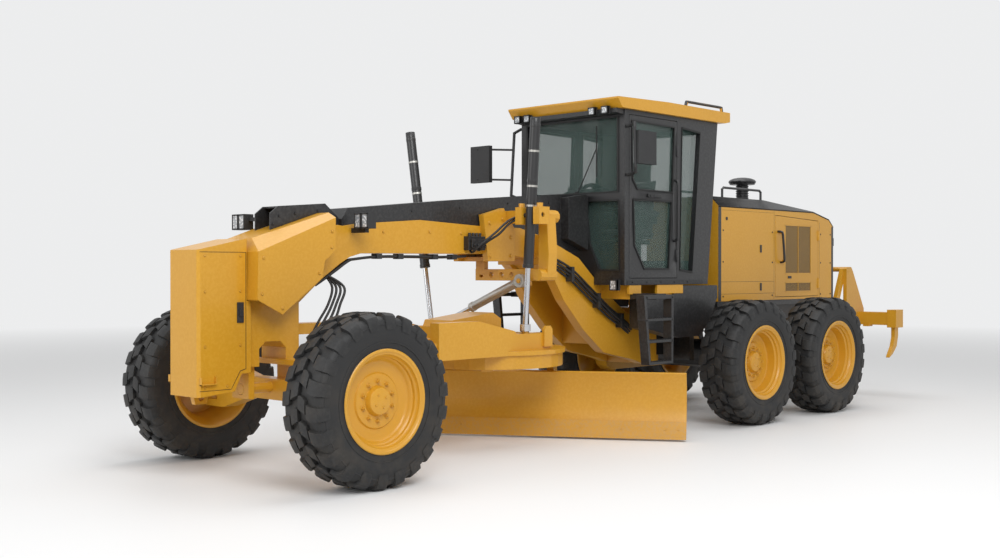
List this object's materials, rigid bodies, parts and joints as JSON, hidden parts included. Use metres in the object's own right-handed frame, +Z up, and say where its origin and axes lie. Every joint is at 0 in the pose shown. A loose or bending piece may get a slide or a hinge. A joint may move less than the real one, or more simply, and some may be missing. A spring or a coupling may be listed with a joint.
{
  "type": "motor grader",
  "caption": "Six-wheeled motor grader with a hinged frame, a turning blade circle under a raised beam, a glazed cab and a rear ripper.",
  "frame": {"origin": "on the ground, under the middle of the machine's length and width", "axes": "+X forwards, +Y to the operator's left, +Z up"},
  "size_m": [9.941, 3.1845, 3.4493],
  "materials": {
    "machine_paint": "satin",
    "black_paint": "satin",
    "tyre": "matte",
    "glass": "clear",
    "rod_chrome": "polished",
    "bare_steel": "machined",
    "seat_cloth": "woven",
    "cab_plastic": "grained",
    "lamp_housing": "clear lens",
    "engine_iron": "cast"
  },
  "bodies": {
    "front_frame": {"main_frame": "machine_paint", "nose_box": "machine_paint", "gooseneck_cover": "machine_paint", "hose_cover": "black_paint", "lift_saddle": "machine_paint", "front_axle": "machine_paint", "work_lamps": "lamp_housing", "cab_frame": "black_paint", "cab_roof": "machine_paint", "cab_glass": "glass", "operator_seat": "seat_cloth", "control_console": "cab_plastic", "mirrors": "cab_plastic", "side_steps": "black_paint", "belly_tanks": "black_paint"},
    "rear_frame": {"rear_frame": "black_paint", "tandem_cases": "machine_paint", "hood": "machine_paint", "engine_block": "engine_iron", "hood_fittings": "black_paint"},
    "blade": {"moldboard": "machine_paint", "cutting_edge": "machine_paint"},
    "cab_door_left": {"cab_door_left": "black_paint"},
    "cab_door_right": {"cab_door_right": "black_paint"},
    "engine_door_left": {"engine_door_left": "machine_paint"},
    "engine_door_right": {"engine_door_right": "machine_paint"},
    "knuckle_left": {"knuckle_left": "machine_paint"},
    "knuckle_right": {"knuckle_right": "machine_paint"},
    "tie_rod": {"tie_rod": "machine_paint"},
    "drawbar_swivel": {"drawbar_swivel": "machine_paint"},
    "drawbar": {"drawbar": "machine_paint"},
    "circle": {"circle": "machine_paint"},
    "blade_carrier": {"blade_carrier": "machine_paint"},
    "shift_bush": {"shift_bush": "bare_steel"},
    "shift_barrel": {"shift_barrel": "machine_paint"},
    "shift_rod": {"shift_rod": "rod_chrome"},
    "ripper_lower_links": {"ripper_lower_links": "machine_paint"},
    "ripper_upper_links": {"ripper_upper_links": "machine_paint"},
    "ripper_carriage": {"ripper_carriage": "machine_paint"},
    "ripper_barrel": {"ripper_barrel": "black_paint"},
    "ripper_rod": {"ripper_rod": "rod_chrome"},
    "lift_yoke_left": {"lift_yoke_left": "machine_paint"},
    "lift_yoke_right": {"lift_yoke_right": "machine_paint"},
    "lift_barrel_left": {"lift_barrel_left": "black_paint"},
    "lift_barrel_right": {"lift_barrel_right": "black_paint"},
    "lift_rod_left": {"lift_rod_left": "rod_chrome"},
    "lift_rod_right": {"lift_rod_right": "rod_chrome"},
    "wheel_front_left": {"rim_front_left": "machine_paint", "tyre_front_left": "tyre"},
    "wheel_middle_left": {"rim_middle_left": "machine_paint", "tyre_middle_left": "tyre"},
    "wheel_rear_left": {"rim_rear_left": "machine_paint", "tyre_rear_left": "tyre"},
    "wheel_front_right": {"rim_front_right": "machine_paint", "tyre_front_right": "tyre"},
    "wheel_middle_right": {"rim_middle_right": "machine_paint", "tyre_middle_right": "tyre"},
    "wheel_rear_right": {"rim_rear_right": "machine_paint", "tyre_rear_right": "tyre"}
  },
  "joints": [
    {"name": "steer_left", "type": "hinge", "parent": "front_frame", "child": "knuckle_left", "pos_m": [4.0895, 0.92, 0.665], "axis": [0, 0, 1], "range_deg": [-45, 45]},
    {"name": "wheel_front_left_spin", "type": "hinge", "parent": "knuckle_left", "child": "wheel_front_left", "pos_m": [4.0895, 1.14, 0.665], "axis": [0, 1, 0], "continuous": true},
    {"name": "wheel_middle_left_spin", "type": "hinge", "parent": "rear_frame", "child": "wheel_middle_left", "pos_m": [-1.2365, 1.134, 0.665], "axis": [0, 1, 0], "continuous": true},
    {"name": "wheel_rear_left_spin", "type": "hinge", "parent": "rear_frame", "child": "wheel_rear_left", "pos_m": [-2.8305, 1.134, 0.665], "axis": [0, 1, 0], "continuous": true},
    {"name": "steer_right", "type": "hinge", "parent": "front_frame", "child": "knuckle_right", "pos_m": [4.0895, -0.92, 0.665], "axis": [0, 0, 1], "range_deg": [-45, 45]},
    {"name": "wheel_front_right_spin", "type": "hinge", "parent": "knuckle_right", "child": "wheel_front_right", "pos_m": [4.0895, -1.14, 0.665], "axis": [0, 1, 0], "continuous": true},
    {"name": "wheel_middle_right_spin", "type": "hinge", "parent": "rear_frame", "child": "wheel_middle_right", "pos_m": [-1.2365, -1.134, 0.665], "axis": [0, 1, 0], "continuous": true},
    {"name": "wheel_rear_right_spin", "type": "hinge", "parent": "rear_frame", "child": "wheel_rear_right", "pos_m": [-2.8305, -1.134, 0.665], "axis": [0, 1, 0], "continuous": true},
    {"name": "tie_rod_turn", "type": "hinge", "parent": "knuckle_left", "child": "tie_rod", "pos_m": [3.8745, 0.92, 0.645], "axis": [0, 0, 1], "range_deg": [-45, 45]},
    {"name": "articulation", "type": "hinge", "parent": "front_frame", "child": "rear_frame", "pos_m": [-0.9605, 0, 0.94], "axis": [0, 0, 1], "range_deg": [-20, 20]},
    {"name": "cab_door_left_hinge", "type": "hinge", "parent": "front_frame", "child": "cab_door_left", "pos_m": [-0.5305, 0.7, 2.39], "axis": [0, 0, 1], "range_deg": [0, 85]},
    {"name": "engine_door_left_hinge", "type": "hinge", "parent": "rear_frame", "child": "engine_door_left", "pos_m": [-3.8705, 0.5, 1.75], "axis": [0, 0, 1], "range_deg": [0, 100]},
    {"name": "cab_door_right_hinge", "type": "hinge", "parent": "front_frame", "child": "cab_door_right", "pos_m": [-0.5305, -0.7, 2.39], "axis": [0, 0, -1], "range_deg": [0, 85]},
    {"name": "engine_door_right_hinge", "type": "hinge", "parent": "rear_frame", "child": "engine_door_right", "pos_m": [-3.8705, -0.5, 1.75], "axis": [0, 0, -1], "range_deg": [0, 100]},
    {"name": "drawbar_swing", "type": "hinge", "parent": "front_frame", "child": "drawbar_swivel", "pos_m": [3.6395, 0, 0.96], "axis": [0, 0, -1], "range_deg": [-8, 8]},
    {"name": "drawbar_lift", "type": "hinge", "parent": "drawbar_swivel", "child": "drawbar", "pos_m": [3.6395, 0, 0.96], "axis": [0, 1, 0], "range_deg": [0, 8.5]},
    {"name": "circle_turn", "type": "hinge", "parent": "drawbar", "child": "circle", "pos_m": [1.6395, 0, 0.8], "axis": [0, 0, 1], "continuous": true},
    {"name": "blade_pitch", "type": "hinge", "parent": "circle", "child": "blade_carrier", "pos_m": [1.2583, -0.2391, 0.2], "axis": [-0.5314, 0.8471, 0], "range_deg": [-5, 40]},
    {"name": "blade_side_shift", "type": "slide", "parent": "blade_carrier", "child": "blade", "axis": [-0.5314, 0.8471, 0], "range_m": [-0.5, 0.5]},
    {"name": "lift_yoke_left_swing", "type": "hinge", "parent": "front_frame", "child": "lift_yoke_left", "pos_m": [1.7695, 0.63, 2.15], "axis": [1, 0, 0], "range_deg": [-15, 15]},
    {"name": "lift_barrel_left_tilt", "type": "hinge", "parent": "lift_yoke_left", "child": "lift_barrel_left", "pos_m": [1.7695, 0.7, 2.15], "axis": [0, 1, 0], "range_deg": [-4, 4]},
    {"name": "lift_rod_left_stroke", "type": "slide", "parent": "lift_barrel_left", "child": "lift_rod_left", "axis": [0, -0.0672, -0.9977], "range_m": [-0.3, 0]},
    {"name": "lift_yoke_right_swing", "type": "hinge", "parent": "front_frame", "child": "lift_yoke_right", "pos_m": [1.7695, -0.63, 2.15], "axis": [1, 0, 0], "range_deg": [-15, 15]},
    {"name": "lift_barrel_right_tilt", "type": "hinge", "parent": "lift_yoke_right", "child": "lift_barrel_right", "pos_m": [1.7695, -0.8, 2.15], "axis": [0, 1, 0], "range_deg": [-4, 4]},
    {"name": "lift_rod_right_stroke", "type": "slide", "parent": "lift_barrel_right", "child": "lift_rod_right", "axis": [0, 0.1613, -0.9869], "range_m": [-0.3, 0]},
    {"name": "shift_bush_turn", "type": "hinge", "parent": "front_frame", "child": "shift_bush", "pos_m": [1.6595, 0.47, 1.545], "axis": [1, 0, 0], "range_deg": [-22, 22]},
    {"name": "shift_barrel_turn", "type": "hinge", "parent": "shift_bush", "child": "shift_barrel", "pos_m": [1.6595, 0.47, 1.545], "axis": [1, 0, 0], "range_deg": [-6, 6]},
    {"name": "shift_rod_stroke", "type": "slide", "parent": "shift_barrel", "child": "shift_rod", "axis": [0, -0.9265, -0.3764], "range_m": [-0.256, 0.256]},
    {"name": "ripper_lower", "type": "hinge", "parent": "rear_frame", "child": "ripper_lower_links", "pos_m": [-4.3305, 0, 0.75], "axis": [0, -1, 0], "range_deg": [0, 75]},
    {"name": "ripper_upper", "type": "hinge", "parent": "rear_frame", "child": "ripper_upper_links", "pos_m": [-4.3305, 0, 1.25], "axis": [0, -1, 0], "range_deg": [0, 75]},
    {"name": "ripper_carriage_turn", "type": "hinge", "parent": "ripper_lower_links", "child": "ripper_carriage", "pos_m": [-4.5054, 0, 1.14282], "axis": [0, -1, 0], "range_deg": [-75, 0]},
    {"name": "ripper_barrel_turn", "type": "hinge", "parent": "rear_frame", "child": "ripper_barrel", "pos_m": [-4.3505, 0, 0.64], "axis": [0, -1, 0], "range_deg": [0, 30]},
    {"name": "ripper_rod_stroke", "type": "slide", "parent": "ripper_barrel", "child": "ripper_rod", "axis": [-0.1878, 0, 0.9822], "range_m": [-0.33, 0]}
  ],
  "couplings": [
    {"joint": "steer_right", "follows": "steer_left", "ratio": 1},
    {"joint": "tie_rod_turn", "follows": "steer_left", "ratio": -1},
    {"joint": "lift_yoke_left_swing", "follows": "drawbar_swing", "ratio": 1.757},
    {"joint": "lift_barrel_left_tilt", "follows": "drawbar_lift", "ratio": -0.38},
    {"joint": "lift_rod_left_stroke", "follows": "drawbar_lift", "m_per_rad": -1.9},
    {"joint": "lift_yoke_right_swing", "follows": "drawbar_swing", "ratio": 1.757},
    {"joint": "lift_barrel_right_tilt", "follows": "drawbar_lift", "ratio": -0.38},
    {"joint": "lift_rod_right_stroke", "follows": "drawbar_lift", "m_per_rad": -1.925},
    {"joint": "shift_bush_turn", "follows": "drawbar_lift", "ratio": -2.45},
    {"joint": "shift_barrel_turn", "follows": "drawbar_swing", "ratio": 0.7},
    {"joint": "shift_rod_stroke", "follows": "drawbar_swing", "m_per_rad": -1.815},
    {"joint": "ripper_upper", "follows": "ripper_lower", "ratio": 1},
    {"joint": "ripper_carriage_turn", "follows": "ripper_lower", "ratio": -1},
    {"joint": "ripper_barrel_turn", "follows": "ripper_lower", "ratio": 0.388},
    {"joint": "ripper_rod_stroke", "follows": "ripper_lower", "m_per_rad": -0.248}
  ]
}
